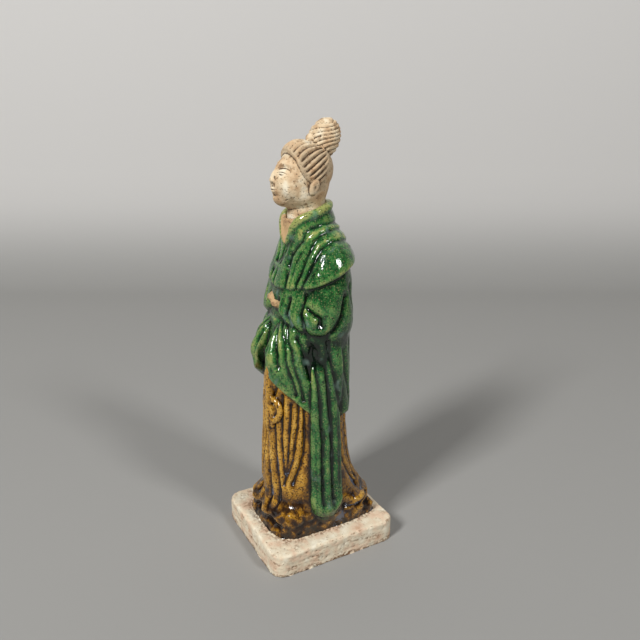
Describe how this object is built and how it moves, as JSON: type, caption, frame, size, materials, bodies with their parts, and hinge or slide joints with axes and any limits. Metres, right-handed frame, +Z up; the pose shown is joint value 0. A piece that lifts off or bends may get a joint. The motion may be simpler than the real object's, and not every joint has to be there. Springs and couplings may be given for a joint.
{
  "type": "court lady figure",
  "caption": "Glazed earthenware figure of a standing court lady in shawl, jacket and long skirt, hands folded, hair in a high bun, on a low plinth",
  "frame": {"origin": "middle of the underside of the plinth", "axes": "the lady faces -Y, her left side is +X, up is +Z"},
  "size_m": [0.066, 0.072, 0.2202],
  "materials": {
    "glazed_earthenware": "glossy mottled green and amber lead glaze over buff earthenware, plinth left bare",
    "bare_earthenware": "unglazed cream earthenware, dusty and slightly pitted"
  },
  "bodies": {
    "root": {"robed_body_with_plinth": "glazed_earthenware", "head_with_bun": "bare_earthenware"}
  },
  "joints": []
}
